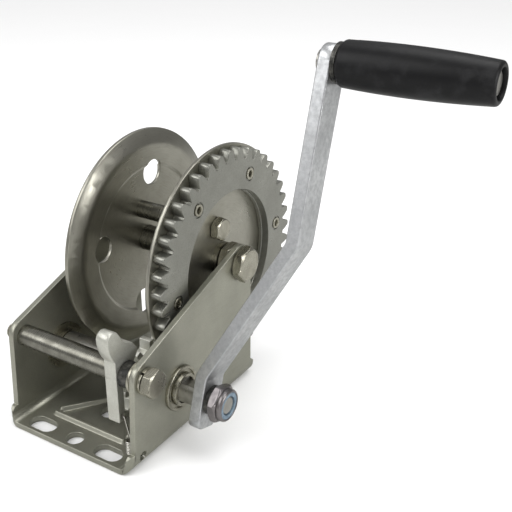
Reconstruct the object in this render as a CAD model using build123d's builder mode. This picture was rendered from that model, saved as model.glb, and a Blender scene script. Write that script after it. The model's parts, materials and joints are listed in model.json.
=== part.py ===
from build123d import *
from math import acos, cos, degrees, pi, radians, sin, sqrt, tan
import os

# Boat trailer winch, in millimetres. +X points to the crank side, +Y to the rear, +Z up.
# The origin lies on the underside of the base, mid-width, on the line of the two front slots.
os.makedirs("parts", exist_ok=True)

# ---------------------------------------------------------------- driving dimensions
# Folded steel frame
frame_width = 80.0
sheet = 3.2
bend_radius = 7.0
plate_inner = frame_width / 2 - sheet
plate_outer = frame_width / 2
base_front = -6.6
base_rear = 101.8
lip_height = 10.0
plate_front_bottom = -1.6
plate_front_top = 1.0
plate_rear = 99.1
rear_boss_radius = 9.7
plate_top_slope = 18.9
front_corner_radius = 8.0

# Axes, each as (y, z); the drive shaft hangs from the drum axis at the gear centre distance
drum_axis = (89.4, 73.2)
centre_distance = 71.5
mesh_angle = 219.3
shaft_axis = (
    drum_axis[0] + centre_distance * cos(radians(mesh_angle)),
    drum_axis[1] + centre_distance * sin(radians(mesh_angle)),
)
pivot_axis = (8.8, 46.2)

# Mounting holes in the base
slot_spacing = 43.0
slot_length = 15.5
slot_width = 9.0
centre_hole_diameter = 9.0
rear_hole_y = 25.3

# Pressed ribs that stiffen the base
rib_width = 4.4
rib_height = 1.9
rib_slope = 35.0
groove_width = 3.0
groove_depth = 1.6
rib_front_y = 10.4
rib_apex_y = 40.0
rib_half_length = 22.0
rib_apex_share = 0.12
rib_sink = 0.01
base_corner_radius = 5.6

# Gear pair
drum_teeth = 41
pinion_teeth = 10
gear_module = 2 * centre_distance / (drum_teeth + pinion_teeth)
pressure_angle = 25.0
tip_rounding = 0.5
tooth_play = 0.3
tooth_thickness = pi * gear_module / 2 - tooth_play
drum_tip_radius = 59.3
drum_root_radius = 53.6
pinion_tip_radius = 16.9
pinion_root_radius = 11.6
drum_turn = 0.94
gear_start = 27.6
gear_end = 33.9
gear_opening_radius = 37.2
opening_step = 0.5
opening_step_depth = 4.2
pinion_start = 28.0
pinion_end = 34.6

# Drum
flange_sheet = 2.0
left_flange_inner = -20.0
right_flange_inner = gear_start - flange_sheet
right_flange_radius = 60.6
rim_start_radius = 52.5
rim_radius = 60.4
rim_flare = 3.4
rim_bend_radius = 8.0
dish_radius = 40.2
dish_step = 1.4
dish_depth = 1.2
lightening_hole_radius = 37.0
lightening_hole_diameter = 14.0
lightening_hole_angle = 80.0
hub_radius = 7.0
hub_bore_radius = 5.06
drum_bolt_radius = 5.0
collar_radius = 8.8
collar_length = 2.9
rivet_circle = 46.0
rivet_angle = 6.1
rivet_shank_radius = 2.7
rivet_head_radius = 3.1
rivet_bore = 1.8
rivet_recess_radius = 3.9
rivet_recess_depth = 0.7
anchor_angle = 101.2
anchor_distance = 18.5
anchor_axis = (
    drum_axis[0] + anchor_distance * cos(radians(anchor_angle)),
    drum_axis[1] + anchor_distance * sin(radians(anchor_angle)),
)
anchor_sleeve_radius = 4.7
anchor_bolt_radius = 3.5
anchor_flats = 11.0

# Drive shaft, bushings and ratchet wheel
shaft_radius = 6.65
bush_bore_radius = 6.72
bush_sleeve_radius = 9.0
right_bush_flange_radius = 11.7
left_bush_flange_radius = 12.4
ratchet_start = 17.6
ratchet_end = 24.2
ratchet_teeth = 13
ratchet_tip_radius = 22.0
ratchet_root_radius = 16.8
ratchet_tooth_angle = 91.0
ratchet_tip_width = 3.0
ratchet_root_width = 4.0

# Crank
crank_lean = 17.8
arm_thickness = 6.3
arm_width = 16.0
arm_inner = 52.6
arm_offset = 34.7
arm_bend_low = 12.0
arm_bend_high = 83.0
arm_bend_radius = 5.0
crank_radius = 163.5
arm_outer = arm_inner + arm_thickness
arm_top_outer = arm_outer + arm_offset
grip_axis = (
    shaft_axis[0] + crank_radius * sin(radians(crank_lean)),
    shaft_axis[1] + crank_radius * cos(radians(crank_lean)),
)
grip_start = 96.0
grip_end = 164.0
grip_pin_radius = 4.0
grip_bore_radius = 4.06

# Pawl and its pivot rod
pawl_start = 21.6
pawl_end = 28.6
pawl_bore_radius = 4.06
pivot_bolt_radius = 4.0
side_gap = 0.3


# Fasteners: widths across flats, and the share of that width left flat on a hexagon's faces
m10_flats = 17.0
m8_flats = 13.0
face_share = 0.93
tip_chamfer = 0.8


# ---------------------------------------------------------------- helpers
def facing_x(x, axis):
    """Plane across the X axis at x, centred on axis, with its own x along +Y and its own y along +Z."""
    return Plane(origin=(x, axis[0], axis[1]), x_dir=(0, 1, 0), z_dir=(1, 0, 0))


def polar(radius, angle):
    """Point at a radius and an angle in degrees."""
    return (radius * cos(radians(angle)), radius * sin(radians(angle)))


def ring(start, end, outer_radius, inner_radius, axis):
    """Plain ring or tube along X."""
    with BuildPart() as tube:
        with BuildSketch(facing_x(start, axis)):
            Circle(outer_radius)
            Circle(inner_radius, mode=Mode.SUBTRACT)
        extrude(amount=end - start)
    return tube.part


def chamfered_hexagon(start, height, across_flats, axis, angle=0.0):
    """Solid hexagon along X with its corners turned off at both faces."""
    corner_radius = across_flats / sqrt(3)
    flat_radius = across_flats / 2 * face_share
    bevel = (corner_radius - flat_radius) * 0.58
    with BuildPart() as block:
        with BuildSketch(facing_x(start, axis)):
            RegularPolygon(corner_radius, 6, rotation=angle)
        extrude(amount=height)
        with BuildSketch(Plane(origin=(start, axis[0], axis[1]), x_dir=(1, 0, 0), z_dir=(0, -1, 0))):
            with BuildLine():
                Polyline(
                    (0, 0),
                    (0, flat_radius),
                    (bevel, corner_radius),
                    (height - bevel, corner_radius),
                    (height, flat_radius),
                    (height, 0),
                    close=True,
                )
            make_face()
        revolve(axis=Axis((start, axis[0], axis[1]), (1, 0, 0)), mode=Mode.INTERSECT)
    return block.part


def hex_nut(start, height, across_flats, bore_radius, axis, angle=0.0):
    """Hexagon nut along X."""
    with BuildPart() as nut:
        add(chamfered_hexagon(start, height, across_flats, axis, angle))
        with BuildSketch(facing_x(start, axis)):
            Circle(bore_radius)
        extrude(amount=height, mode=Mode.SUBTRACT)
    return nut.part


def hex_bolt(head_start, head_height, across_flats, shank_radius, shank_end, axis, angle=0.0):
    """Hexagon bolt with its head towards +X and its shank running to shank_end on the -X side."""
    with BuildPart() as bolt:
        add(chamfered_hexagon(head_start, head_height, across_flats, axis, angle))
        with BuildSketch(facing_x(shank_end, axis)):
            Circle(shank_radius)
        extrude(amount=head_start - shank_end)
        tip_face = bolt.faces().sort_by(Axis.X)[0]
        chamfer(tip_face.edges(), tip_chamfer)
    return bolt.part


def involute_turn(base_radius, radius):
    """Angle in degrees that an involute has turned through when it reaches a radius."""
    roll = sqrt(max(radius * radius / (base_radius * base_radius) - 1, 0))
    return degrees(roll) - degrees(acos(min(base_radius / radius, 1)))


def gear_outline(teeth, first_tooth_angle, tip_radius, root_radius):
    """Draws the closed outline of an involute gear in the active line builder."""
    pitch_radius = teeth * gear_module / 2
    base_radius = pitch_radius * cos(radians(pressure_angle))
    flank_foot = max(root_radius, base_radius)
    flank_top = tip_radius - tip_rounding
    flank_middle = (flank_foot + flank_top) / 2
    half_tooth = degrees(tooth_thickness / 2 / pitch_radius)
    pitch_turn = involute_turn(base_radius, pitch_radius)
    foot_angle = half_tooth + pitch_turn - involute_turn(base_radius, flank_foot)
    middle_angle = half_tooth + pitch_turn - involute_turn(base_radius, flank_middle)
    top_angle = half_tooth + pitch_turn - involute_turn(base_radius, flank_top)
    step = 360 / teeth
    for number in range(teeth):
        centre = first_tooth_angle + number * step
        if flank_foot > root_radius:
            Line(polar(root_radius, centre - foot_angle), polar(flank_foot, centre - foot_angle))
        ThreePointArc(
            polar(flank_foot, centre - foot_angle),
            polar(flank_middle, centre - middle_angle),
            polar(flank_top, centre - top_angle),
        )
        ThreePointArc(
            polar(flank_top, centre - top_angle),
            polar(tip_radius, centre),
            polar(flank_top, centre + top_angle),
        )
        ThreePointArc(
            polar(flank_top, centre + top_angle),
            polar(flank_middle, centre + middle_angle),
            polar(flank_foot, centre + foot_angle),
        )
        if flank_foot > root_radius:
            Line(polar(flank_foot, centre + foot_angle), polar(root_radius, centre + foot_angle))
        ThreePointArc(
            polar(root_radius, centre + foot_angle),
            polar(root_radius, centre + step / 2),
            polar(root_radius, centre + step - foot_angle),
        )


def ratchet_outline():
    """Draws the closed outline of the square-toothed ratchet wheel in the active line builder."""
    tip_angle = degrees(ratchet_tip_width / 2 / ratchet_tip_radius)
    root_angle = degrees(ratchet_root_width / 2 / ratchet_root_radius)
    step = 360 / ratchet_teeth
    for number in range(ratchet_teeth):
        centre = ratchet_tooth_angle + number * step
        Line(polar(ratchet_root_radius, centre - root_angle), polar(ratchet_tip_radius, centre - tip_angle))
        ThreePointArc(
            polar(ratchet_tip_radius, centre - tip_angle),
            polar(ratchet_tip_radius, centre),
            polar(ratchet_tip_radius, centre + tip_angle),
        )
        Line(polar(ratchet_tip_radius, centre + tip_angle), polar(ratchet_root_radius, centre + root_angle))
        ThreePointArc(
            polar(ratchet_root_radius, centre + root_angle),
            polar(ratchet_root_radius, centre + step / 2),
            polar(ratchet_root_radius, centre + step - root_angle),
        )


# ---------------------------------------------------------------- frame
pivot_hole_radius = 4.2
drum_bolt_hole_radius = 5.2
spring_hole = (4.3, 6.2)
spring_hole_radius = 2.4
base_length = base_rear - base_front
slope_rise = tan(radians(plate_top_slope))
corner_top = (plate_front_top + 0.35, pivot_axis[1] + 7.4)
boss_tangent = (
    drum_axis[0] - rear_boss_radius * sin(radians(plate_top_slope)),
    drum_axis[1] + rear_boss_radius * cos(radians(plate_top_slope)),
)
corner_height = boss_tangent[1] - (boss_tangent[0] - corner_top[0]) * slope_rise
boss_top = (
    drum_axis[0] + rear_boss_radius * sin(radians(35)),
    drum_axis[1] + rear_boss_radius * cos(radians(35)),
)

with BuildPart() as frame:
    # Channel bent from one sheet
    with BuildSketch(Plane.XZ.offset(-base_front)):
        with BuildLine():
            channel = FilletPolyline(
                (-plate_outer + sheet / 2, 90),
                (-plate_outer + sheet / 2, sheet / 2),
                (plate_outer - sheet / 2, sheet / 2),
                (plate_outer - sheet / 2, 90),
                radius=bend_radius - sheet / 2,
            )
            offset(channel, amount=sheet / 2, side=Side.BOTH, closed=True)
        make_face()
    extrude(amount=-base_length)
    # Side view of the frame: the base and its bends stand a little ahead of and behind the plates
    with BuildSketch(Plane.YZ.offset(-plate_outer)) as side_view:
        with BuildLine():
            Polyline(
                (plate_rear, drum_axis[1]),
                (plate_rear, lip_height),
                (base_rear, lip_height - 2),
                (base_rear, 0),
                (base_front, 0),
                (base_front, lip_height - 3),
                (plate_front_bottom - 2, lip_height),
                (plate_front_bottom, lip_height),
                (corner_top[0], corner_height),
                boss_tangent,
            )
            ThreePointArc(boss_tangent, boss_top, (plate_rear, drum_axis[1]))
        make_face()
        top_corner = side_view.vertices().sort_by_distance((corner_top[0], corner_height, 0))[0]
        fillet(top_corner, front_corner_radius)
    extrude(amount=frame_width, mode=Mode.INTERSECT)
    # Front corners of the base rounded, seen from above
    for side in (-1, 1):
        with BuildSketch(Plane.XY):
            with Locations((side * (plate_outer - base_corner_radius / 2), base_front + base_corner_radius / 2)):
                Rectangle(base_corner_radius, base_corner_radius)
            with Locations((side * (plate_outer - base_corner_radius), base_front + base_corner_radius)):
                Circle(base_corner_radius, mode=Mode.SUBTRACT)
        extrude(amount=lip_height + 1, mode=Mode.SUBTRACT)
    # Holes through both side plates, and the one for the spring hook in the right plate only
    with BuildSketch(facing_x(-plate_outer, pivot_axis)):
        Circle(pivot_hole_radius)
    extrude(amount=frame_width, mode=Mode.SUBTRACT)
    with BuildSketch(facing_x(-plate_outer, drum_axis)):
        Circle(drum_bolt_hole_radius)
    extrude(amount=frame_width, mode=Mode.SUBTRACT)
    with BuildSketch(facing_x(-plate_outer, shaft_axis)):
        Circle(bush_sleeve_radius)
    extrude(amount=frame_width, mode=Mode.SUBTRACT)
    with BuildSketch(facing_x(plate_inner - bend_radius, spring_hole)):
        Circle(spring_hole_radius)
    extrude(amount=bend_radius + sheet, mode=Mode.SUBTRACT)
    # Ribs pressed up around the rear hole, with their grooves underneath
    left_end = (-rib_half_length, rib_front_y + 4)
    right_end = (rib_half_length, rib_front_y + 4)
    with BuildSketch(Plane.XY.offset(sheet - rib_sink)):
        with Locations((0, rib_front_y)):
            SlotCenterToCenter(2 * rib_half_length, rib_width)
    extrude(amount=rib_height, taper=rib_slope)
    for rib_end in (left_end, right_end):
        with BuildSketch(Plane.XY.offset(sheet - rib_sink)):
            with BuildLine():
                rib_line = Line(rib_end, (rib_end[0] * rib_apex_share, rib_apex_y))
            SlotCenterPoint(rib_line @ 0.5, rib_line @ 1, rib_width)
        extrude(amount=rib_height, taper=rib_slope)
    with BuildSketch(Plane.XY):
        with Locations((0, rib_front_y)):
            SlotCenterToCenter(2 * rib_half_length, groove_width)
        for rib_end in (left_end, right_end):
            with BuildLine(mode=Mode.PRIVATE):
                groove_line = Line(rib_end, (rib_end[0] * rib_apex_share, rib_apex_y))
            SlotCenterPoint(groove_line @ 0.5, groove_line @ 1, groove_width)
    extrude(amount=groove_depth, mode=Mode.SUBTRACT)
    # Mounting slots and holes
    with BuildSketch(Plane.XY):
        with GridLocations(slot_spacing, 1, 2, 1):
            SlotOverall(slot_length, slot_width)
        Circle(centre_hole_diameter / 2)
        with Locations((0, rear_hole_y)):
            Circle(centre_hole_diameter / 2)
    extrude(amount=sheet, mode=Mode.SUBTRACT)
frame.part.label = "frame"
export_step(frame.part, "parts/frame.step")


# ---------------------------------------------------------------- drum and what it turns on
drum_bolt_head = 5.7
drum_bolt_end = -50.5
drum_nut_height = 8.0

drum_shaft_bolt = hex_bolt(
    plate_outer,
    drum_bolt_head,
    m10_flats,
    drum_bolt_radius,
    drum_bolt_end,
    drum_axis,
    12,
)
drum_shaft_bolt.label = "drum_shaft_bolt"
export_step(drum_shaft_bolt, "parts/drum_shaft_bolt.step")

drum_shaft_nut = hex_nut(
    -plate_outer - drum_nut_height,
    drum_nut_height,
    m10_flats,
    drum_bolt_radius,
    drum_axis,
    20,
)
drum_shaft_nut.label = "drum_shaft_nut"
export_step(drum_shaft_nut, "parts/drum_shaft_nut.step")

collar_outer_end = gear_start + collar_length
drum_spacer_nut = hex_nut(
    collar_outer_end + side_gap,
    plate_inner - collar_outer_end - side_gap,
    m10_flats,
    drum_bolt_radius,
    drum_axis,
    5,
)
drum_spacer_nut.label = "drum_spacer_nut"
export_step(drum_spacer_nut, "parts/drum_spacer_nut.step")

left_flange_outer = left_flange_inner - flange_sheet
dish_inner = left_flange_inner - dish_depth
dish_outer = left_flange_outer - dish_depth
left_collar_end = dish_outer - collar_length
left_spacer_radius = 8.0
drum_left_spacer = ring(
    -plate_inner,
    left_collar_end - side_gap,
    left_spacer_radius,
    drum_bolt_radius,
    drum_axis,
)
drum_left_spacer.label = "drum_left_spacer"
export_step(drum_left_spacer, "parts/drum_left_spacer.step")

anchor_offset = polar(anchor_distance, anchor_angle)
anchor_hole_radius = anchor_bolt_radius + 0.1
outer_rim_start = rim_start_radius + 0.8
drum_profile_plane = Plane(origin=(0, drum_axis[0], drum_axis[1]), x_dir=(1, 0, 0), z_dir=(0, -1, 0))
with BuildPart() as drum_flange_left:
    # Section of the spun flange: dished middle, flat ring and a rim flared outwards
    with BuildSketch(drum_profile_plane) as rim_profile:
        with BuildLine():
            Polyline(
                (dish_inner, hub_radius),
                (dish_inner, dish_radius),
                (left_flange_inner, dish_radius + dish_step),
                (left_flange_inner, rim_start_radius),
                (left_flange_inner - rim_flare, rim_radius),
                (left_flange_inner - rim_flare - flange_sheet, rim_radius + 0.1),
                (left_flange_outer, outer_rim_start),
                (left_flange_outer, dish_radius + dish_step),
                (dish_outer, dish_radius),
                (dish_outer, hub_radius),
                close=True,
            )
        make_face()
        inner_bend = rim_profile.vertices().sort_by_distance((left_flange_inner, rim_start_radius, 0))[0]
        outer_bend = rim_profile.vertices().sort_by_distance((left_flange_outer, outer_rim_start, 0))[0]
        fillet((inner_bend, outer_bend), rim_bend_radius)
    revolve(axis=Axis((0, drum_axis[0], drum_axis[1]), (1, 0, 0)))
    with BuildSketch(facing_x(dish_outer - 1, drum_axis)):
        with PolarLocations(lightening_hole_radius, 4, lightening_hole_angle):
            Circle(lightening_hole_diameter / 2)
        with Locations(anchor_offset):
            Circle(anchor_hole_radius)
    extrude(amount=flange_sheet + dish_depth + 2, mode=Mode.SUBTRACT)
drum_flange_left.part.label = "drum_flange_left"
export_step(drum_flange_left.part, "parts/drum_flange_left.step")

with BuildPart() as drum_flange_right:
    with BuildSketch(facing_x(right_flange_inner, drum_axis)):
        Circle(right_flange_radius)
        Circle(hub_radius, mode=Mode.SUBTRACT)
        with Locations(anchor_offset):
            Circle(anchor_hole_radius, mode=Mode.SUBTRACT)
        with PolarLocations(rivet_circle, 6, rivet_angle):
            Circle(rivet_shank_radius, mode=Mode.SUBTRACT)
    extrude(amount=flange_sheet)
drum_flange_right.part.label = "drum_flange_right"
export_step(drum_flange_right.part, "parts/drum_flange_right.step")

with BuildPart() as drum_gear:
    with BuildSketch(facing_x(gear_start, drum_axis)):
        with BuildLine():
            gear_outline(drum_teeth, mesh_angle + drum_turn, drum_tip_radius, drum_root_radius)
        make_face()
        Circle(gear_opening_radius, mode=Mode.SUBTRACT)
        with PolarLocations(rivet_circle, 6, rivet_angle):
            Circle(rivet_shank_radius, mode=Mode.SUBTRACT)
    extrude(amount=gear_end - gear_start)
    # The stamped opening is a little wider on its outer side
    with BuildSketch(facing_x(gear_end - opening_step_depth, drum_axis)):
        Circle(gear_opening_radius + opening_step)
    extrude(amount=opening_step_depth, mode=Mode.SUBTRACT)
    with BuildSketch(facing_x(gear_end - rivet_recess_depth, drum_axis)):
        with PolarLocations(rivet_circle, 6, rivet_angle):
            Circle(rivet_recess_radius)
    extrude(amount=rivet_recess_depth, mode=Mode.SUBTRACT)
drum_gear.part.label = "drum_gear"
export_step(drum_gear.part, "parts/drum_gear.step")

rivet_flange_head = 0.7
rivet_bore_depth = 3.5
rivet_end = gear_end + 0.3
with BuildPart() as gear_rivets:
    for number in range(6):
        offset_y, offset_z = polar(rivet_circle, rivet_angle + 60 * number)
        rivet_axis = (drum_axis[0] + offset_y, drum_axis[1] + offset_z)
        with BuildSketch(facing_x(right_flange_inner - rivet_flange_head, rivet_axis)):
            Circle(rivet_head_radius)
        extrude(amount=rivet_flange_head)
        with BuildSketch(facing_x(right_flange_inner, rivet_axis)):
            Circle(rivet_shank_radius)
        extrude(amount=gear_end - right_flange_inner)
        with BuildSketch(facing_x(gear_end - rivet_recess_depth, rivet_axis)):
            Circle(rivet_head_radius)
        extrude(amount=rivet_end - gear_end + rivet_recess_depth)
        with BuildSketch(facing_x(rivet_end - rivet_bore_depth, rivet_axis)):
            Circle(rivet_bore)
        extrude(amount=rivet_bore_depth, mode=Mode.SUBTRACT)
gear_rivets.part.label = "gear_rivets"
export_step(gear_rivets.part, "parts/gear_rivets.step")

with BuildPart() as drum_hub_tube:
    with BuildSketch(facing_x(left_collar_end, drum_axis)):
        Circle(hub_radius)
        Circle(hub_bore_radius, mode=Mode.SUBTRACT)
    extrude(amount=collar_outer_end - left_collar_end)
drum_hub_tube.part.label = "drum_hub_tube"
export_step(drum_hub_tube.part, "parts/drum_hub_tube.step")

hub_collar_right = ring(gear_start, collar_outer_end, collar_radius, hub_radius, drum_axis)
hub_collar_right.label = "hub_collar_right"
export_step(hub_collar_right, "parts/hub_collar_right.step")

hub_collar_left = ring(left_collar_end, dish_outer, collar_radius, hub_radius, drum_axis)
hub_collar_left.label = "hub_collar_left"
export_step(hub_collar_left, "parts/hub_collar_left.step")

anchor_head_height = 4.8
anchor_nut_height = 5.5
rope_anchor_bolt = hex_bolt(
    gear_start,
    anchor_head_height,
    anchor_flats,
    anchor_bolt_radius,
    dish_outer - anchor_nut_height - 1.5,
    anchor_axis,
    25,
)
rope_anchor_bolt.label = "rope_anchor_bolt"
export_step(rope_anchor_bolt, "parts/rope_anchor_bolt.step")

rope_anchor_sleeve = ring(
    dish_inner,
    right_flange_inner,
    anchor_sleeve_radius,
    anchor_hole_radius,
    anchor_axis,
)
rope_anchor_sleeve.label = "rope_anchor_sleeve"
export_step(rope_anchor_sleeve, "parts/rope_anchor_sleeve.step")

rope_anchor_nut = hex_nut(
    dish_outer - anchor_nut_height,
    anchor_nut_height,
    anchor_flats,
    anchor_bolt_radius,
    anchor_axis,
)
rope_anchor_nut.label = "rope_anchor_nut"
export_step(rope_anchor_nut, "parts/rope_anchor_nut.step")


# ---------------------------------------------------------------- drive shaft, pinion and ratchet wheel
bush_rim_height = 1.8
bush_rim_width = 1.6
bush_floor = 0.6
right_bush_length = 3.8
left_bush_flange = 1.4
left_bush_length = 4.0
with BuildPart() as bushing_right:
    with BuildSketch(facing_x(plate_inner, shaft_axis)):
        Circle(bush_sleeve_radius)
    extrude(amount=sheet)
    # Flange on the outside of the plate with a raised, rounded rim
    with BuildSketch(facing_x(plate_outer, shaft_axis)):
        Circle(right_bush_flange_radius)
    extrude(amount=bush_rim_height)
    fillet(bushing_right.edges().filter_by(GeomType.CIRCLE).sort_by(Axis.X)[-1], bush_floor)
    with BuildSketch(facing_x(plate_outer + bush_floor, shaft_axis)):
        Circle(right_bush_flange_radius - bush_rim_width)
    extrude(amount=bush_rim_height - bush_floor, mode=Mode.SUBTRACT)
    with BuildSketch(facing_x(plate_outer, shaft_axis)):
        Circle(bush_sleeve_radius - bush_floor)
    extrude(amount=right_bush_length)
    with BuildSketch(facing_x(plate_inner, shaft_axis)):
        Circle(bush_bore_radius)
    extrude(amount=sheet + right_bush_length, mode=Mode.SUBTRACT)
bushing_right.part.label = "bushing_right"
export_step(bushing_right.part, "parts/bushing_right.step")

with BuildPart() as bushing_left:
    with BuildSketch(facing_x(-plate_outer, shaft_axis)):
        Circle(bush_sleeve_radius)
    extrude(amount=sheet)
    with BuildSketch(facing_x(-plate_inner, shaft_axis)):
        Circle(left_bush_flange_radius)
    extrude(amount=left_bush_flange)
    with BuildSketch(facing_x(-plate_inner, shaft_axis)):
        Circle(bush_sleeve_radius)
    extrude(amount=left_bush_length)
    with BuildSketch(facing_x(-plate_outer, shaft_axis)):
        Circle(bush_bore_radius)
    extrude(amount=sheet + left_bush_length, mode=Mode.SUBTRACT)
bushing_left.part.label = "bushing_left"
export_step(bushing_left.part, "parts/bushing_left.step")

shaft_left_end = -45.4
flats_start = 42.2
flats_across = 8.6
tenon_radius = 6.0
tenon_across = 7.6
thread_radius = 5.0
stud_radius = 4.8
shaft_right_end = 68.4
ring_groove_start = -42.2
ring_groove_width = 1.2
ring_groove_radius = 5.9
with BuildPart() as drive_shaft:
    with BuildSketch(facing_x(shaft_left_end, shaft_axis)):
        Circle(shaft_radius)
    extrude(amount=flats_start - shaft_left_end)
    with BuildSketch(facing_x(flats_start, shaft_axis)):
        Circle(shaft_radius)
        Rectangle(2 * shaft_radius, flats_across, rotation=-crank_lean, mode=Mode.INTERSECT)
    extrude(amount=arm_inner - flats_start)
    with BuildSketch(facing_x(arm_inner, shaft_axis)):
        Circle(tenon_radius)
        Rectangle(2 * tenon_radius, tenon_across, rotation=-crank_lean, mode=Mode.INTERSECT)
    extrude(amount=arm_thickness)
    with BuildSketch(facing_x(arm_outer, shaft_axis)):
        Circle(stud_radius)
    extrude(amount=shaft_right_end - arm_outer)
    with BuildSketch(facing_x(ring_groove_start - ring_groove_width, shaft_axis)):
        Circle(shaft_radius + 1)
        Circle(ring_groove_radius, mode=Mode.SUBTRACT)
    extrude(amount=ring_groove_width, mode=Mode.SUBTRACT)
    end_edges = drive_shaft.edges().filter_by(GeomType.CIRCLE).sort_by(Axis.X)
    chamfer((end_edges[0], end_edges[-1]), tip_chamfer)
drive_shaft.part.label = "drive_shaft"
export_step(drive_shaft.part, "parts/drive_shaft.step")

retaining_ring_radius = 9.2
shaft_retaining_ring = ring(
    ring_groove_start - ring_groove_width,
    ring_groove_start,
    retaining_ring_radius,
    ring_groove_radius,
    shaft_axis,
)
shaft_retaining_ring.label = "shaft_retaining_ring"
export_step(shaft_retaining_ring, "parts/shaft_retaining_ring.step")

# The pinion has a gap where the drum gear has a tooth, turned back by the gear ratio
pinion_tooth_angle = mesh_angle - 180 + 180 / pinion_teeth - drum_turn * drum_teeth / pinion_teeth
with BuildPart() as pinion_gear:
    with BuildSketch(facing_x(pinion_start, shaft_axis)):
        with BuildLine():
            gear_outline(pinion_teeth, pinion_tooth_angle, pinion_tip_radius, pinion_root_radius)
        make_face()
        Circle(shaft_radius, mode=Mode.SUBTRACT)
    extrude(amount=pinion_end - pinion_start)
pinion_gear.part.label = "pinion_gear"
export_step(pinion_gear.part, "parts/pinion_gear.step")

with BuildPart() as ratchet_wheel:
    with BuildSketch(facing_x(ratchet_start, shaft_axis)):
        with BuildLine():
            ratchet_outline()
        make_face()
        Circle(shaft_radius, mode=Mode.SUBTRACT)
    extrude(amount=ratchet_end - ratchet_start)
ratchet_wheel.part.label = "ratchet_wheel"
export_step(ratchet_wheel.part, "parts/ratchet_wheel.step")

inner_collar_radius = 9.6
shaft_collar_inner = ring(ratchet_end, pinion_start, inner_collar_radius, shaft_radius, shaft_axis)
shaft_collar_inner.label = "shaft_collar_inner"
export_step(shaft_collar_inner, "parts/shaft_collar_inner.step")

sleeve_start = -plate_inner + left_bush_length + side_gap
sleeve_radius = 8.4
shaft_sleeve = ring(sleeve_start, ratchet_start, sleeve_radius, shaft_radius, shaft_axis)
shaft_sleeve.label = "shaft_sleeve"
export_step(shaft_sleeve, "parts/shaft_sleeve.step")

outer_collar_end = plate_inner - side_gap
outer_collar_radius = 9.0
shaft_collar_outer = ring(pinion_end, outer_collar_end, outer_collar_radius, shaft_radius, shaft_axis)
shaft_collar_outer.label = "shaft_collar_outer"
export_step(shaft_collar_outer, "parts/shaft_collar_outer.step")


# ---------------------------------------------------------------- crank
arm_plane = Plane(
    origin=(0, shaft_axis[0], shaft_axis[1]),
    x_dir=(1, 0, 0),
    z_dir=(0, -cos(radians(crank_lean)), sin(radians(crank_lean))),
)
arm_side_plane = Plane(
    origin=(0, shaft_axis[0], shaft_axis[1]),
    x_dir=(0, sin(radians(crank_lean)), cos(radians(crank_lean))),
    z_dir=(1, 0, 0),
)
arm_middle = arm_inner + arm_thickness / 2
pin_hole_radius = 3.5
arm_foot = 14.5
foot_corner_radius = 4.5
with BuildPart() as crank_arm:
    # Bar bent twice, seen from the front
    with BuildSketch(arm_plane):
        with BuildLine():
            bar = FilletPolyline(
                (arm_middle, -2 * arm_width),
                (arm_middle, arm_bend_low),
                (arm_middle + arm_offset, arm_bend_high),
                (arm_middle + arm_offset, crank_radius + arm_width),
                radius=arm_bend_radius + arm_thickness / 2,
            )
            offset(bar, amount=arm_thickness / 2, side=Side.BOTH, closed=True)
        make_face()
    extrude(amount=arm_width / 2, both=True)
    # Top end round about the grip pin, foot cut square with rounded corners
    with BuildSketch(arm_side_plane) as arm_outline:
        with Locations((crank_radius, 0)):
            Circle(arm_width / 2)
        with Locations(((crank_radius - arm_foot) / 2, 0)):
            Rectangle(crank_radius + arm_foot, arm_width)
        front_corner = arm_outline.vertices().sort_by_distance((-arm_foot, -arm_width / 2, 0))[0]
        rear_corner = arm_outline.vertices().sort_by_distance((-arm_foot, arm_width / 2, 0))[0]
        fillet((front_corner, rear_corner), foot_corner_radius)
    extrude(amount=arm_top_outer + 10, mode=Mode.INTERSECT)
    with BuildSketch(facing_x(arm_inner, shaft_axis)):
        Circle(tenon_radius)
        Rectangle(2 * tenon_radius, tenon_across, rotation=-crank_lean, mode=Mode.INTERSECT)
    extrude(amount=arm_thickness, mode=Mode.SUBTRACT)
    with BuildSketch(facing_x(arm_outer, grip_axis)):
        Circle(pin_hole_radius)
    extrude(amount=arm_offset + 10, mode=Mode.SUBTRACT)
crank_arm.part.label = "crank_arm"
export_step(crank_arm.part, "parts/crank_arm.step")

washer_thickness = 2.8
crank_washer_radius = 7.2
nut_start = arm_outer + washer_thickness
nut_hex_height = 4.8
nut_total_height = 7.6
nut_collar_radius = 8.1
nut_collar_rounding = 1.4
insert_recess = 0.4
insert_outer_radius = 6.7
crank_washer = ring(arm_outer, nut_start, crank_washer_radius, thread_radius, shaft_axis)
crank_washer.label = "crank_washer"
export_step(crank_washer, "parts/crank_washer.step")

with BuildPart() as crank_nut:
    add(chamfered_hexagon(nut_start, nut_hex_height, m10_flats, shaft_axis, -crank_lean))
    with BuildSketch(facing_x(nut_start + nut_hex_height, shaft_axis)):
        Circle(nut_collar_radius)
    extrude(amount=nut_total_height - nut_hex_height)
    fillet(crank_nut.edges().filter_by(GeomType.CIRCLE).sort_by(Axis.X)[-1], nut_collar_rounding)
    with BuildSketch(facing_x(nut_start, shaft_axis)):
        Circle(stud_radius)
    extrude(amount=nut_total_height, mode=Mode.SUBTRACT)
    with BuildSketch(facing_x(nut_start + nut_hex_height - insert_recess, shaft_axis)):
        Circle(insert_outer_radius)
    extrude(amount=nut_total_height, mode=Mode.SUBTRACT)
crank_nut.part.label = "crank_nut"
export_step(crank_nut.part, "parts/crank_nut.step")

crank_nut_insert = ring(
    nut_start + nut_hex_height - insert_recess,
    nut_start + nut_total_height - insert_recess,
    insert_outer_radius,
    stud_radius,
    shaft_axis,
)
crank_nut_insert.label = "crank_nut_insert"
export_step(crank_nut_insert, "parts/crank_nut_insert.step")

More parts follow.
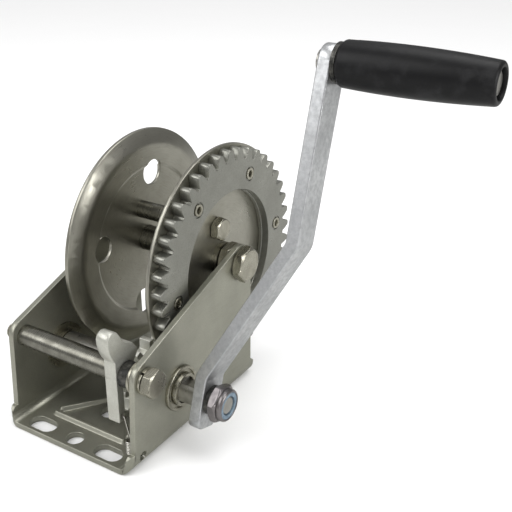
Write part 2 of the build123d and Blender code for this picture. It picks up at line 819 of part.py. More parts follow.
arm_top_inner = arm_inner + arm_offset
pin_head_height = 2.0
pin_head_radius = 5.2
recess_depth = 4.0
recess_radius = 6.2
pin_rivet_height = 2.2
pin_end = grip_end - recess_depth + side_gap
with BuildPart() as grip_pin:
    with BuildSketch(facing_x(arm_top_inner - pin_head_height, grip_axis)):
        Circle(pin_head_radius)
    extrude(amount=pin_head_height, taper=-12)
    with BuildSketch(facing_x(arm_top_inner, grip_axis)):
        Circle(pin_hole_radius)
    extrude(amount=arm_thickness)
    with BuildSketch(facing_x(arm_top_outer, grip_axis)):
        Circle(grip_pin_radius)
    extrude(amount=pin_end - arm_top_outer)
    with BuildSketch(facing_x(pin_end, grip_axis)):
        Circle(pin_head_radius)
    extrude(amount=pin_rivet_height, taper=12)
grip_pin.part.label = "grip_pin"
export_step(grip_pin.part, "parts/grip_pin.step")

grip_washer_radius = 9.0
grip_washer = ring(arm_top_outer, grip_start - side_gap, grip_washer_radius, grip_pin_radius, grip_axis)
grip_washer.label = "grip_washer"
export_step(grip_washer, "parts/grip_washer.step")

grip_inner_radius = 10.1
grip_middle_radius = 10.7
grip_outer_radius = 8.9
grip_rounding = 1.6
grip_profile_plane = Plane(origin=(0, grip_axis[0], grip_axis[1]), x_dir=(1, 0, 0), z_dir=(0, -1, 0))
with BuildPart() as grip:
    with BuildSketch(grip_profile_plane):
        with BuildLine():
            Polyline(
                (grip_start, grip_inner_radius),
                (grip_start, grip_bore_radius),
                (grip_end - recess_depth, grip_bore_radius),
                (grip_end - recess_depth, recess_radius),
                (grip_end, recess_radius + 0.4),
                (grip_end, grip_outer_radius),
            )
            ThreePointArc(
                (grip_start, grip_inner_radius),
                ((grip_start + grip_end) / 2 - 4, grip_middle_radius),
                (grip_end, grip_outer_radius),
            )
        make_face()
    revolve(axis=Axis((0, grip_axis[0], grip_axis[1]), (1, 0, 0)))
    round_edges = grip.edges().filter_by(GeomType.CIRCLE)
    rim_edges = round_edges.filter_by(lambda edge: edge.radius > grip_outer_radius - 0.1)
    fillet(rim_edges, grip_rounding)
grip.part.label = "grip"
export_step(grip.part, "parts/grip.step")


# ---------------------------------------------------------------- pawl and its pivot rod
tail_front = -6.9
tail_rear = -2.4
tail_end = -24.5
lower_nose = 1.8
pawl_hub_radius = 7.0
notch = (0.2, 16.9)
notch_rounding = 2.5
thumb_rear = (-3.2, 22.6)
thumb_front = (-10.8, 21.0)
spring_eye = (-4.4, -21.4)
spring_eye_radius = 1.2
with BuildPart() as pawl:
    with BuildSketch(facing_x(pawl_start, pivot_axis)) as pawl_profile:
        with BuildLine():
            Polyline(
                (-6.9, 9.0),
                (tail_front, tail_end),
                (lower_nose, tail_end),
                (lower_nose, tail_end + 2.2),
                (tail_rear, tail_end + 4.4),
                (tail_rear, -6.6),
                (4.6, -3.0),
                (6.2, 3.0),
                (9.0, 7.2),
                (9.2, 9.4),
                (6.2, 13.4),
                notch,
                thumb_rear,
            )
            ThreePointArc(thumb_rear, (-7.4, 24.7), thumb_front)
            ThreePointArc(thumb_front, (-9.7, 14.6), (-6.9, 9.0))
        make_face()
        Circle(pawl_hub_radius)
        notch_corner = pawl_profile.vertices().sort_by_distance((*notch, 0))[0]
        fillet(notch_corner, notch_rounding)
    extrude(amount=pawl_end - pawl_start)
    with BuildSketch(facing_x(pawl_start, pivot_axis)):
        Circle(pawl_bore_radius)
        with Locations(spring_eye):
            Circle(spring_eye_radius)
    extrude(amount=pawl_end - pawl_start, mode=Mode.SUBTRACT)
pawl.part.label = "pawl"
export_step(pawl.part, "parts/pawl.step")

lock_washer_thickness = 2.0
lock_washer_radius = 6.6
pivot_bolt_head = 5.3
pivot_bolt_end = -46.2
pawl_pivot_bolt = hex_bolt(
    plate_outer + lock_washer_thickness,
    pivot_bolt_head,
    m8_flats,
    pivot_bolt_radius,
    pivot_bolt_end,
    pivot_axis,
    10,
)
pawl_pivot_bolt.label = "pawl_pivot_bolt"
export_step(pawl_pivot_bolt, "parts/pawl_pivot_bolt.step")

pivot_lock_washer = ring(
    plate_outer,
    plate_outer + lock_washer_thickness,
    lock_washer_radius,
    pivot_bolt_radius,
    pivot_axis,
)
pivot_lock_washer.label = "pivot_lock_washer"
export_step(pivot_lock_washer, "parts/pivot_lock_washer.step")

# Threaded collar against the left plate that the pivot bolt screws into, and the tube beside it
tube_radius = 5.4
pivot_collar_end = -31.6
pivot_collar = ring(-plate_inner, pivot_collar_end, tube_radius, pivot_bolt_radius, pivot_axis)
pivot_collar.label = "pivot_collar"
export_step(pivot_collar, "parts/pivot_collar.step")

pawl_spacer_tube = ring(pivot_collar_end, pawl_start - side_gap, tube_radius, pivot_bolt_radius, pivot_axis)
pawl_spacer_tube.label = "pawl_spacer_tube"
export_step(pawl_spacer_tube, "parts/pawl_spacer_tube.step")

inner_washer_thickness = 1.6
inner_washer_radius = 8.3
side_spacer_radius = 6.5
pawl_side_spacer = ring(
    pawl_end + side_gap,
    plate_inner - inner_washer_thickness,
    side_spacer_radius,
    pivot_bolt_radius,
    pivot_axis,
)
pawl_side_spacer.label = "pawl_side_spacer"
export_step(pawl_side_spacer, "parts/pawl_side_spacer.step")

pivot_inner_washer = ring(
    plate_inner - inner_washer_thickness,
    plate_inner,
    inner_washer_radius,
    pivot_bolt_radius,
    pivot_axis,
)
pivot_inner_washer.label = "pivot_inner_washer"
export_step(pivot_inner_washer, "parts/pivot_inner_washer.step")

# Coil of the pawl spring, low in the corner between the base and the right plate
spring_bottom = (33.0, 3.4, 5.8)
spring_height = 7.4
spring_coil_radius = 2.1
spring_wire_radius = 0.42
spring_pitch = 1.05
with BuildPart() as pawl_spring:
    with BuildLine() as coil:
        Helix(spring_pitch, spring_height, spring_coil_radius, center=spring_bottom)
    with BuildSketch(Plane(origin=coil.line @ 0, z_dir=coil.line % 0)):
        Circle(spring_wire_radius)
    sweep(path=coil.line, is_frenet=True)
pawl_spring.part.label = "pawl_spring"
export_step(pawl_spring.part, "parts/pawl_spring.step")
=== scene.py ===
import json
import math
import bpy
from mathutils import Matrix, Vector


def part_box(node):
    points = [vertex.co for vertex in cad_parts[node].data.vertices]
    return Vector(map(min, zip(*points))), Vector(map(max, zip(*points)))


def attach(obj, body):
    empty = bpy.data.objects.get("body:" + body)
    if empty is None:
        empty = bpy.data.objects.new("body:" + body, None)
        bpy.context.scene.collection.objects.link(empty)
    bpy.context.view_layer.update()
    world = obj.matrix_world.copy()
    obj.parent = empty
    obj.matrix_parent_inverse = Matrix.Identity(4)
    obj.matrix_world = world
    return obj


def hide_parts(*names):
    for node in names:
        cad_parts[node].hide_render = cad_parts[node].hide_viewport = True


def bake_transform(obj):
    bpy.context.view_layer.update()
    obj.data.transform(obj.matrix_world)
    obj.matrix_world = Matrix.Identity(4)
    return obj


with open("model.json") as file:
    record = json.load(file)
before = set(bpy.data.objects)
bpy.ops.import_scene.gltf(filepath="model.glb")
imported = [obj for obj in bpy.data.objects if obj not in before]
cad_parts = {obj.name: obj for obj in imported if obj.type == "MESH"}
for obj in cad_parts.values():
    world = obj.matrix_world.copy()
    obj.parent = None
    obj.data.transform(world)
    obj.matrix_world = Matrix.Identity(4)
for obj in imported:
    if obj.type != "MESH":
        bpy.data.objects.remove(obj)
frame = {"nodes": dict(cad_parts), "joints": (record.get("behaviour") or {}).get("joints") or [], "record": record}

MM = 0.001
MIX_COLOR_A, MIX_COLOR_B, MIX_COLOR_RESULT = 6, 7, 2
MIX_FLOAT_A, MIX_FLOAT_B, MIX_FLOAT_RESULT = 2, 3, 0
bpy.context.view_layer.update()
nodes = frame["nodes"]
record = frame["record"]
joint_place = {joint["name"]: Vector(joint["pos_m"]) for joint in frame["joints"]}
drum_centre = joint_place["drum_spin"]
shaft_centre = joint_place["crank_spin"]
grip_centre = joint_place["grip_spin"]
pivot_centre = joint_place["pawl_tilt"]


# ---------------------------------------------------------------- material building blocks
class Surface:
    """A principled material whose colour, roughness and bump come from procedural nodes."""

    def __init__(self, name, metallic, roughness, color):
        self.material = bpy.data.materials.new(name)
        self.material.use_nodes = True
        self.tree = self.material.node_tree
        self.tree.nodes.clear()
        self.output = self.tree.nodes.new("ShaderNodeOutputMaterial")
        self.shader = self.tree.nodes.new("ShaderNodeBsdfPrincipled")
        self.shader.inputs["Metallic"].default_value = metallic
        self.shader.inputs["Roughness"].default_value = roughness
        self.shader.inputs["Base Color"].default_value = (*color, 1)
        self.join(self.shader.outputs["BSDF"], self.output.inputs["Surface"])
        self.place = self.tree.nodes.new("ShaderNodeTexCoord").outputs["Object"]
        self.normal = None

    def join(self, source, target):
        self.tree.links.new(source, target)

    def stretched(self, scale, offset=(0, 0, 0)):
        """Object coordinates in metres, moved by an offset and stretched along each axis."""
        mapping = self.tree.nodes.new("ShaderNodeMapping")
        mapping.inputs["Scale"].default_value = scale
        mapping.inputs["Location"].default_value = offset
        self.join(self.place, mapping.inputs["Vector"])
        return mapping.outputs["Vector"]

    def polar(self, centre):
        """Radius and turn about an X axis through centre."""
        split = self.tree.nodes.new("ShaderNodeSeparateXYZ")
        self.join(self.stretched((1, 1, 1), (0, -centre.y, -centre.z)), split.inputs["Vector"])
        flat = self.tree.nodes.new("ShaderNodeCombineXYZ")
        self.join(split.outputs["Y"], flat.inputs["X"])
        self.join(split.outputs["Z"], flat.inputs["Y"])
        length = self.tree.nodes.new("ShaderNodeVectorMath")
        length.operation = "LENGTH"
        self.join(flat.outputs["Vector"], length.inputs[0])
        turn = self.calculate("ARCTAN2", split.outputs["Z"], split.outputs["Y"])
        return length.outputs["Value"], turn

    def combine(self, x, y, z):
        """Vector socket from three numbers or sockets."""
        vector = self.tree.nodes.new("ShaderNodeCombineXYZ")
        for name, value in zip("XYZ", (x, y, z)):
            if isinstance(value, (int, float)):
                vector.inputs[name].default_value = value
            else:
                self.join(value, vector.inputs[name])
        return vector.outputs["Vector"]

    def calculate(self, operation, a, b):
        """Result socket of a math node on two numbers or sockets."""
        math_node = self.tree.nodes.new("ShaderNodeMath")
        math_node.operation = operation
        for slot_number, value in enumerate((a, b)):
            if isinstance(value, (int, float)):
                math_node.inputs[slot_number].default_value = value
            else:
                self.join(value, math_node.inputs[slot_number])
        return math_node.outputs["Value"]

    def noise(self, scale, detail, roughness, vector=None):
        """Noise value in object space, or in the given coordinates."""
        texture = self.tree.nodes.new("ShaderNodeTexNoise")
        texture.inputs["Scale"].default_value = scale
        texture.inputs["Detail"].default_value = detail
        texture.inputs["Roughness"].default_value = roughness
        self.join(vector or self.place, texture.inputs["Vector"])
        return texture.outputs["Fac"]

    def cells(self, scale):
        """Distance to the nearest point of a cell pattern."""
        texture = self.tree.nodes.new("ShaderNodeTexVoronoi")
        texture.inputs["Scale"].default_value = scale
        self.join(self.place, texture.inputs["Vector"])
        return texture.outputs["Distance"]

    def remap(self, value, low, high, to_low=0.0, to_high=1.0):
        """Value stretched from low..high to to_low..to_high, held inside that range."""
        mapper = self.tree.nodes.new("ShaderNodeMapRange")
        mapper.inputs["From Min"].default_value = low
        mapper.inputs["From Max"].default_value = high
        mapper.inputs["To Min"].default_value = to_low
        mapper.inputs["To Max"].default_value = to_high
        self.join(value, mapper.inputs["Value"])
        return mapper.outputs["Result"]

    def tint(self, factor, first, second):
        """Colour between two colours, or between a colour socket and a colour."""
        mixer = self.tree.nodes.new("ShaderNodeMix")
        mixer.data_type = "RGBA"
        self.join(factor, mixer.inputs["Factor"])
        for socket, value in ((mixer.inputs[MIX_COLOR_A], first), (mixer.inputs[MIX_COLOR_B], second)):
            if isinstance(value, tuple):
                socket.default_value = (*value, 1)
            else:
                self.join(value, socket)
        return mixer.outputs[MIX_COLOR_RESULT]

    def color(self, socket):
        self.join(socket, self.shader.inputs["Base Color"])

    def rough(self, socket):
        self.join(socket, self.shader.inputs["Roughness"])

    def bump(self, height, strength, distance):
        """Adds a bump layer, distance in metres, on top of the layers added before."""
        bump_node = self.tree.nodes.new("ShaderNodeBump")
        bump_node.inputs["Strength"].default_value = strength
        bump_node.inputs["Distance"].default_value = distance
        self.join(height, bump_node.inputs["Height"])
        if self.normal is not None:
            self.join(self.normal, bump_node.inputs["Normal"])
        self.normal = bump_node.outputs["Normal"]
        self.join(self.normal, self.shader.inputs["Normal"])


def plated_sheet(name, light, dark, roughness=(0.3, 0.44), cloud=38):
    """Satin zinc plate: slow clouds, fine grain, rolling lines and a few scuffs."""
    surface = Surface(name, 0.85, roughness[0], light)
    clouds = surface.noise(cloud, 4.0, 0.6)
    fine = surface.noise(1900, 2.0, 0.6)
    lines = surface.noise(900, 2.0, 0.5, surface.stretched((0.25, 0.06, 1.0)))
    base = surface.tint(surface.remap(clouds, 0.3, 0.7), light, dark)
    shade = tuple(0.8 * channel for channel in dark)
    base = surface.tint(surface.remap(fine, 0.42, 0.75, 0.0, 0.55), base, shade)
    surface.color(base)
    surface.rough(surface.remap(surface.calculate("ADD", clouds, lines), 0.7, 1.3, *roughness))
    surface.bump(fine, 0.18, 0.00012)
    scratches = surface.noise(300, 2.0, 0.6, surface.stretched((0.12, 1.0, 0.5)))
    surface.bump(surface.remap(scratches, 0.64, 0.72), 0.08, 0.0001)
    return surface.material


def spun_sheet(name, light, dark, centre):
    """Zinc plate on a spun flange: fine rings about its centre over slow clouds."""
    roughness = (0.26, 0.42)
    surface = Surface(name, 1.0, roughness[0], light)
    radius, turn = surface.polar(centre)
    ring_place = surface.combine(radius, surface.calculate("MULTIPLY", turn, 0.004), 0.0)
    rings = surface.noise(1400, 3.0, 0.6, ring_place)
    clouds = surface.noise(30, 4.0, 0.6)
    fine = surface.noise(2200, 2.0, 0.6)
    base = surface.tint(surface.remap(clouds, 0.3, 0.7), light, dark)
    shade = tuple(0.82 * channel for channel in dark)
    base = surface.tint(surface.remap(rings, 0.45, 0.8, 0.0, 0.5), base, shade)
    surface.color(base)
    surface.rough(surface.remap(surface.calculate("ADD", clouds, rings), 0.7, 1.3, *roughness))
    surface.bump(rings, 0.14, 0.00015)
    surface.bump(fine, 0.1, 0.0001)
    return surface.material


def turned_metal(name, light, dark, roughness):
    """Turned or drawn metal: fine lines round the X axis and slight stains."""
    surface = Surface(name, 1.0, roughness[0], light)
    lines = surface.noise(2600, 2.0, 0.5, surface.stretched((1.0, 0.04, 0.04)))
    clouds = surface.noise(160, 3.0, 0.6)
    surface.color(surface.tint(surface.remap(clouds, 0.35, 0.68), light, dark))
    surface.rough(surface.remap(surface.calculate("ADD", clouds, lines), 0.7, 1.3, *roughness))
    surface.bump(lines, 0.12, 0.0001)
    surface.bump(surface.noise(1500, 2.0, 0.5), 0.06, 0.0001)
    return surface.material


def mottled_zinc(name, light, dark):
    """Bright zinc with the small blotches of a barrel-plated forging."""
    roughness = (0.34, 0.5)
    surface = Surface(name, 1.0, roughness[0], light)
    blotches = surface.noise(420, 5.0, 0.62)
    slow = surface.noise(55, 3.0, 0.5)
    specks = surface.cells(700)
    base = surface.tint(surface.remap(blotches, 0.38, 0.66), light, dark)
    faded = tuple(0.86 * channel for channel in dark)
    base = surface.tint(surface.remap(slow, 0.4, 0.7, 0.0, 0.6), base, faded)
    surface.color(base)
    surface.rough(surface.remap(surface.calculate("ADD", blotches, slow), 0.75, 1.25, *roughness))
    surface.bump(blotches, 0.3, 0.00015)
    surface.bump(surface.remap(specks, 0.0, 0.25), 0.12, 0.0001)
    return surface.material


def dark_metal(name, light, dark):
    """Blackened steel with rubbed patches."""
    roughness = (0.3, 0.48)
    surface = Surface(name, 0.85, roughness[0], dark)
    rubbed = surface.noise(260, 4.0, 0.65)
    surface.color(surface.tint(surface.remap(rubbed, 0.45, 0.75), dark, light))
    surface.rough(surface.remap(rubbed, 0.35, 0.7, roughness[1], roughness[0]))
    surface.bump(surface.noise(1300, 3.0, 0.6), 0.15, 0.0001)
    return surface.material


def grip_plastic(name, base, scuffed):
    """Moulded plastic with a fine grain, faint pits and dull handling marks."""
    surface = Surface(name, 0.0, 0.42, base)
    surface.shader.inputs["Specular IOR Level"].default_value = 0.2
    marks = surface.noise(110, 5.0, 0.65)
    grain = surface.noise(1800, 2.0, 0.55)
    pits = surface.cells(620)
    surface.color(surface.tint(surface.remap(marks, 0.5, 0.8), base, scuffed))
    surface.rough(surface.remap(marks, 0.35, 0.75, 0.34, 0.5))
    surface.bump(grain, 0.22, 0.00012)
    surface.bump(surface.remap(pits, 0.0, 0.16), 0.35, 0.0001)
    return surface.material


def nylon(name, light, dark):
    """Nylon with a faint swirl."""
    surface = Surface(name, 0.0, 0.4, light)
    swirl = surface.noise(500, 3.0, 0.6)
    surface.color(surface.tint(surface.remap(swirl, 0.35, 0.7), light, dark))
    surface.rough(surface.remap(swirl, 0.3, 0.7, 0.32, 0.5))
    surface.bump(swirl, 0.15, 0.0001)
    return surface.material


# ---------------------------------------------------------------- materials by record slot
materials = {
    "frame_zinc": plated_sheet("frame_zinc", (0.42, 0.415, 0.35), (0.33, 0.33, 0.275)),
    "drum_zinc": spun_sheet("drum_zinc", (0.44, 0.43, 0.375), (0.345, 0.335, 0.285), drum_centre),
    "gear_zinc": plated_sheet("gear_zinc", (0.33, 0.33, 0.295), (0.25, 0.25, 0.222), (0.26, 0.4)),
    "fastener_zinc": turned_metal("fastener_zinc", (0.47, 0.455, 0.38), (0.33, 0.315, 0.255), (0.22, 0.34)),
    "rod_zinc": turned_metal("rod_zinc", (0.27, 0.265, 0.23), (0.17, 0.165, 0.14), (0.24, 0.34)),
    "shaft_steel": turned_metal("shaft_steel", (0.50, 0.49, 0.46), (0.36, 0.35, 0.32), (0.26, 0.4)),
    "pawl_zinc": plated_sheet("pawl_zinc", (0.68, 0.68, 0.62), (0.58, 0.58, 0.52), (0.36, 0.5), 90),
    "crank_zinc": mottled_zinc("crank_zinc", (0.68, 0.69, 0.70), (0.50, 0.51, 0.52)),
    "nut_grey": turned_metal("nut_grey", (0.29, 0.27, 0.27), (0.20, 0.185, 0.19), (0.26, 0.4)),
    # Blackened steel. Its near-black tone is partly painted shade: the dark spacer beside the pawl fills a gap
    # that reads as shadow.
    "dark_steel": dark_metal("dark_steel", (0.16, 0.155, 0.14), (0.035, 0.035, 0.033)),
    "insert_nylon": nylon("insert_nylon", (0.16, 0.22, 0.27), (0.09, 0.13, 0.17)),
    "grip_plastic": grip_plastic("grip_plastic", (0.006, 0.006, 0.0065), (0.02, 0.02, 0.021)),
    "spring_steel": turned_metal("spring_steel", (0.66, 0.65, 0.60), (0.50, 0.49, 0.44), (0.2, 0.3)),
}

slot_of = {subpart["node"]: subpart["material_slot"] for subpart in record["subparts"]}
for name, node in nodes.items():
    node.data.materials.clear()
    node.data.materials.append(materials[slot_of[name]])


# ---------------------------------------------------------------- softened edges on the CAD nodes
edge_round = {
    "frame": 0.4, "crank_arm": 0.7, "pawl": 0.6, "drum_gear": 0.22, "ratchet_wheel": 0.3,
    "pinion_gear": 0.3, "drum_flange_left": 0.3, "drum_flange_right": 0.3,
    "drum_shaft_bolt": 0.3, "drum_shaft_nut": 0.3, "drum_spacer_nut": 0.3, "pawl_pivot_bolt": 0.25,
    "rope_anchor_bolt": 0.25, "rope_anchor_nut": 0.25, "crank_nut": 0.3, "gear_rivets": 0.2,
    "bushing_right": 0.25, "pivot_inner_washer": 0.25, "grip": 0.3,
}


def soften(node, width):
    """Rounds the sharp edges of a CAD node by width in metres, without touching its own mesh."""
    weld = node.modifiers.new("weld", "WELD")
    weld.merge_threshold = 0.002 * MM
    flatten = node.modifiers.new("flatten", "DECIMATE")
    flatten.decimate_type = "DISSOLVE"
    flatten.angle_limit = math.radians(0.6)
    bevel = node.modifiers.new("bevel", "BEVEL")
    bevel.width = width
    bevel.segments = 2
    bevel.limit_method = "ANGLE"
    bevel.angle_limit = math.radians(32)
    bevel.harden_normals = True
    bevel.use_clamp_overlap = False


for name, width in edge_round.items():
    soften(nodes[name], width * MM)


# ---------------------------------------------------------------- pieces that replace or add to CAD nodes
def mesh_piece(name, points, faces, slot_name, body):
    """New smooth-shaded mesh object from points in millimetres, riding on body unless that is None."""
    mesh = bpy.data.meshes.new(name)
    mesh.from_pydata([Vector(point) * MM for point in points], [], faces)
    mesh.validate()
    mesh.shade_smooth()
    piece = bpy.data.objects.new(name, mesh)
    bpy.context.scene.collection.objects.link(piece)
    mesh.materials.append(materials[slot_name])
    if body:
        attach(piece, body)
    return piece


def smooth_path(corners, steps):
    """Points of a Catmull-Rom line through the corners."""
    ends = [corners[0] * 2 - corners[1], *corners, corners[-1] * 2 - corners[-2]]
    path = []
    for a, b, c, d in zip(ends, ends[1:], ends[2:], ends[3:]):
        for number in range(steps):
            t = number / steps
            square = (2 * a - 5 * b + 4 * c - d) * t * t
            cube = (3 * b - a - 3 * c + d) * t ** 3
            path.append(0.5 * (2 * b + (c - a) * t + square + cube))
    return path + [corners[-1]]


def wire(path, radius, sides=10):
    """Points and faces of a closed round wire along a path, with rounded ends."""
    points, faces = [], []
    across = (path[1] - path[0]).orthogonal().normalized()
    last = len(path) - 1
    for number, place in enumerate(path):
        along = (path[min(number + 1, last)] - path[max(number - 1, 0)]).normalized()
        across = (across - along * across.dot(along)).normalized()
        over = along.cross(across)
        width = radius * (0.6 if number in (0, last) else 1.0)
        for side in range(sides):
            turn = 2 * math.pi * side / sides
            points.append(place + (across * math.cos(turn) + over * math.sin(turn)) * width)
    for number in range(last):
        for side in range(sides):
            first, second = number * sides + side, number * sides + (side + 1) % sides
            faces.append((first, second, second + sides, first + sides))
    faces.append(tuple(reversed(range(sides))))
    faces.append(tuple(range(last * sides, (last + 1) * sides)))
    return points, faces


def middle_mm(node):
    """Centre of a CAD node's box."""
    low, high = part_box(node)
    return (Vector(low) + Vector(high)) / 2 / MM


def corner_mm(node, top):
    """Highest corner of a CAD node's box if top is true, else the lowest."""
    return Vector(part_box(node)[1 if top else 0]) / MM


def make_spring():
    """Extension spring: a close coil with a hook through the plate and a long leg to the pawl's eye."""
    wire_radius, turns, steps = 0.42, 8, 20
    eye_drop, eye_back = 21.4, 4.4
    hole_y, hole_z = 4.3, 6.2
    centre = middle_mm("pawl_spring")
    low = corner_mm("pawl_spring", False)
    high = corner_mm("pawl_spring", True)
    coil_radius = (high.x - low.x) / 2 - wire_radius
    bottom, top = low.z + wire_radius, high.z - wire_radius
    plate = corner_mm("frame", True).x
    pivot = pivot_centre / MM
    eye = Vector((corner_mm("pawl", True).x, pivot.y - eye_back, pivot.z - eye_drop))
    hole = Vector((plate, hole_y, hole_z))
    hook = smooth_path(
        [
            hole + Vector((0.6, -1.5, 1.9)),
            hole + Vector((1.0, -0.7, 0.6)),
            hole + Vector((0.5, 0.1, -0.1)),
            hole + Vector((-2.0, 0.0, -0.2)),
            Vector((centre.x + coil_radius + 0.6, centre.y - 0.4, bottom)),
        ],
        6,
    )
    coil = []
    for number in range(turns * steps + 1):
        turn = 2 * math.pi * number / steps
        rise = bottom + (top - bottom) * number / (turns * steps)
        coil.append(
            Vector((centre.x + coil_radius * math.cos(turn), centre.y + coil_radius * math.sin(turn), rise))
        )
    leg = smooth_path(
        [
            Vector((centre.x + coil_radius * 0.3, centre.y, top + 1.3)),
            Vector((centre.x - 0.6, centre.y + 0.3, top + 3.2)),
            eye + Vector((1.6, 0.0, -3.0)),
            eye + Vector((0.9, 0.0, -0.6)),
            eye + Vector((-0.2, 0.0, 0.1)),
            eye + Vector((-3.0, 0.0, 0.0)),
        ],
        7,
    )
    points, faces = wire(hook + coil + leg, wire_radius)
    spring = mesh_piece("spring_wire", points, faces, "spring_steel", None)
    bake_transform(spring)
    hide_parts("pawl_spring")


def make_lock_washer():
    """Split spring washer under the head of the pivot bolt."""
    low, high = corner_mm("pivot_lock_washer", False), corner_mm("pivot_lock_washer", True)
    centre = middle_mm("pivot_lock_washer")
    outer = (high.y - low.y) / 2
    inner, lift, steps = 4.15, 0.35, 56
    half_gap = math.radians(5)
    slit = math.radians(118)
    thickness = high.x - low.x - lift
    points, faces = [], []
    for number in range(steps + 1):
        share = number / steps
        turn = slit + half_gap + (2 * math.pi - 2 * half_gap) * share
        start = low.x + lift * share
        end = start + thickness
        for radius, x in ((inner, start), (outer, start), (outer, end), (inner, end)):
            points.append((x, centre.y + radius * math.cos(turn), centre.z + radius * math.sin(turn)))
    for number in range(steps):
        for side in range(4):
            first, second = number * 4 + side, number * 4 + (side + 1) % 4
            faces.append((first, second, second + 4, first + 4))
    faces.append((3, 2, 1, 0))
    faces.append(tuple(range(steps * 4, steps * 4 + 4)))
    washer = mesh_piece("split_washer", points, faces, "fastener_zinc", "frame")
    bevel = washer.modifiers.new("bevel", "BEVEL")
    bevel.width = 0.2 * MM
    bevel.segments = 2
    bevel.limit_method = "ANGLE"
    bevel.angle_limit = math.radians(40)
    bevel.harden_normals = True
    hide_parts("pivot_lock_washer")


def make_thread(name, centre, start, end, shank_radius, pitch, slot_name, body):
    """Helical ridge of a screw thread standing on a shank along X, faded in and out at its ends."""
    sunk, crest, steps = 0.12, 0.26, 28
    foot, top = 0.44 * pitch, 0.06 * pitch
    count = int(round((end - start) / pitch * steps))
    points, faces = [], []
    for number in range(count + 1):
        turn = 2 * math.pi * number / steps
        x = start + (end - start) * number / count
        fade = min(1.0, 2.0 * number / steps, 2.0 * (count - number) / steps)
        for shift, radius in (
            (-foot, shank_radius - sunk),
            (foot, shank_radius - sunk),
            (top, shank_radius + crest * fade),
            (-top, shank_radius + crest * fade),
        ):
            y = centre.y + radius * math.cos(turn)
            z = centre.z + radius * math.sin(turn)
            points.append((x + shift, y, z))
    for number in range(count):
        for side in range(4):
            first, second = number * 4 + side, number * 4 + (side + 1) % 4
            faces.append((first, second, second + 4, first + 4))
    faces.append((3, 2, 1, 0))
    faces.append(tuple(range(count * 4, count * 4 + 4)))
    mesh_piece(name, points, faces, slot_name, body)


make_spring()
make_lock_washer()
anchor_centre = middle_mm("rope_anchor_nut")
make_thread(
    "thread_drum_bolt", drum_centre / MM, corner_mm("drum_shaft_bolt", False).x + 1.0,
    corner_mm("drum_shaft_nut", False).x, 5.0, 1.25, "fastener_zinc", "frame",
)
make_thread(
    "thread_pivot_bolt", pivot_centre / MM, corner_mm("pawl_pivot_bolt", False).x + 1.0,
    corner_mm("frame", False).x, 4.0, 1.1, "fastener_zinc", "frame",
)
make_thread(
    "thread_anchor_bolt", anchor_centre, corner_mm("rope_anchor_bolt", False).x + 0.8,
    corner_mm("rope_anchor_nut", False).x, 3.5, 1.0, "fastener_zinc", "drum",
)


# ---------------------------------------------------------------- floor, lights and camera
def make_floor(size):
    """Square of pale paper, white to the eye; in reflections it shows a painted grey shade."""
    mesh = bpy.data.meshes.new("floor")
    half = size / 2
    corners = [(-half, -half, 0), (half, -half, 0), (half, half, 0), (-half, half, 0)]
    mesh.from_pydata(corners, [], [(0, 1, 2, 3)])
    floor = bpy.data.objects.new("floor", mesh)
    bpy.context.scene.collection.objects.link(floor)
    surface = Surface("floor_paper", 0.0, 0.7, (0.9, 0.9, 0.9))
    paper = surface.noise(3, 3.0, 0.5)
    white = surface.tint(surface.remap(paper, 0.3, 0.7), (0.92, 0.92, 0.92), (0.89, 0.89, 0.89))
    # Painted reflection: glossy rays see flat grey here, painted shade standing in for the darker surroundings
    # reflected in the metal.
    seen = surface.tree.nodes.new("ShaderNodeLightPath")
    surface.color(surface.tint(seen.outputs["Is Glossy Ray"], white, (0.5, 0.5, 0.49)))
    surface.rough(surface.remap(paper, 0.3, 0.7, 0.6, 0.75))
    mesh.materials.append(surface.material)


def area_light(name, place, target, size, power):
    """White rectangular light at place, aimed at target, all in metres and watts."""
    light = bpy.data.lights.new(name, "AREA")
    light.shape = "RECTANGLE"
    light.size, light.size_y = size
    light.energy = power
    holder = bpy.data.objects.new(name, light)
    bpy.context.scene.collection.objects.link(holder)
    holder.location = place
    holder.rotation_euler = (Vector(target) - Vector(place)).to_track_quat("-Z", "Y").to_euler()


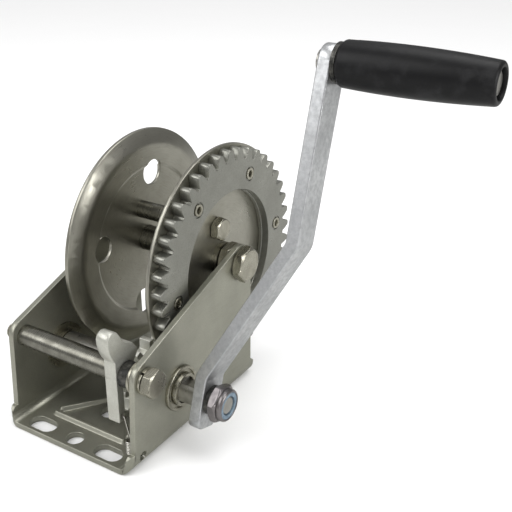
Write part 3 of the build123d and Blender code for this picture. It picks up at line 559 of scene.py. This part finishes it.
def make_world():
    """White to the eye and the diffuse light; a dimmer gradient, darker to +X and below, in reflections."""
    world = bpy.data.worlds.new("studio")
    bpy.context.scene.world = world
    world.use_nodes = True
    tree = world.node_tree
    tree.nodes.clear()
    output = tree.nodes.new("ShaderNodeOutputWorld")
    background = tree.nodes.new("ShaderNodeBackground")
    place = tree.nodes.new("ShaderNodeTexCoord")
    split = tree.nodes.new("ShaderNodeSeparateXYZ")
    tree.links.new(place.outputs["Generated"], split.inputs["Vector"])
    glow = {}
    for axis, start, end, low, high in (("Z", -0.1, 0.9, 0.22, 0.5), ("X", -0.6, 0.9, 1.0, 0.55)):
        ramp = tree.nodes.new("ShaderNodeMapRange")
        ramp.inputs["From Min"].default_value = start
        ramp.inputs["From Max"].default_value = end
        ramp.inputs["To Min"].default_value = low
        ramp.inputs["To Max"].default_value = high
        tree.links.new(split.outputs[axis], ramp.inputs["Value"])
        glow[axis] = ramp.outputs["Result"]
    product = tree.nodes.new("ShaderNodeMath")
    product.operation = "MULTIPLY"
    tree.links.new(glow["Z"], product.inputs[0])
    tree.links.new(glow["X"], product.inputs[1])
    seen = tree.nodes.new("ShaderNodeLightPath")
    brightness = tree.nodes.new("ShaderNodeMix")
    tree.links.new(seen.outputs["Is Glossy Ray"], brightness.inputs["Factor"])
    brightness.inputs[MIX_FLOAT_A].default_value = 1.0
    tree.links.new(product.outputs["Value"], brightness.inputs[MIX_FLOAT_B])
    tree.links.new(brightness.outputs[MIX_FLOAT_RESULT], background.inputs["Strength"])
    background.inputs["Color"].default_value = (1, 1, 1, 1)
    tree.links.new(background.outputs["Background"], output.inputs["Surface"])


def make_camera(aim, azimuth, elevation, roll, distance, lens):
    """Camera looking at aim: azimuth 0 looks along +Y, elevation is above the horizon."""
    turn = math.radians(azimuth)
    lift = math.radians(elevation)
    forward = Vector((-math.sin(turn) * math.cos(lift), math.cos(turn) * math.cos(lift), -math.sin(lift)))
    data = bpy.data.cameras.new("camera")
    data.lens = lens
    data.sensor_width = 36
    data.clip_start = 0.01
    camera = bpy.data.objects.new("camera", data)
    bpy.context.scene.collection.objects.link(camera)
    camera.location = aim - forward * distance
    look = forward.to_track_quat("-Z", "Y").to_matrix().to_4x4()
    tilt = Matrix.Rotation(math.radians(roll), 4, "Z")
    camera.matrix_world = Matrix.Translation(camera.location) @ look @ tilt
    bpy.context.scene.camera = camera


make_floor(6.0)
make_world()
area_light("key", (-0.45, -0.55, 0.75), (0, 0.05, 0.07), (0.7, 0.7), 4)
area_light("top", (0.15, 0.25, 0.95), (0.02, 0.06, 0.08), (0.8, 0.5), 3.5)
area_light("front", (0.45, -0.8, 0.25), (0.02, 0.05, 0.06), (0.4, 0.6), 0.8)
area_light("right", (0.9, 0.12, 0.36), (0, 0.08, 0.09), (0.35, 0.3), 2.6)
make_camera(Vector((49.3, 89.3, 79.5)) * MM, 31.9, 25.2, 0.2, 421.5 * MM, 58.17)
bpy.context.scene.view_settings.view_transform = "Standard"
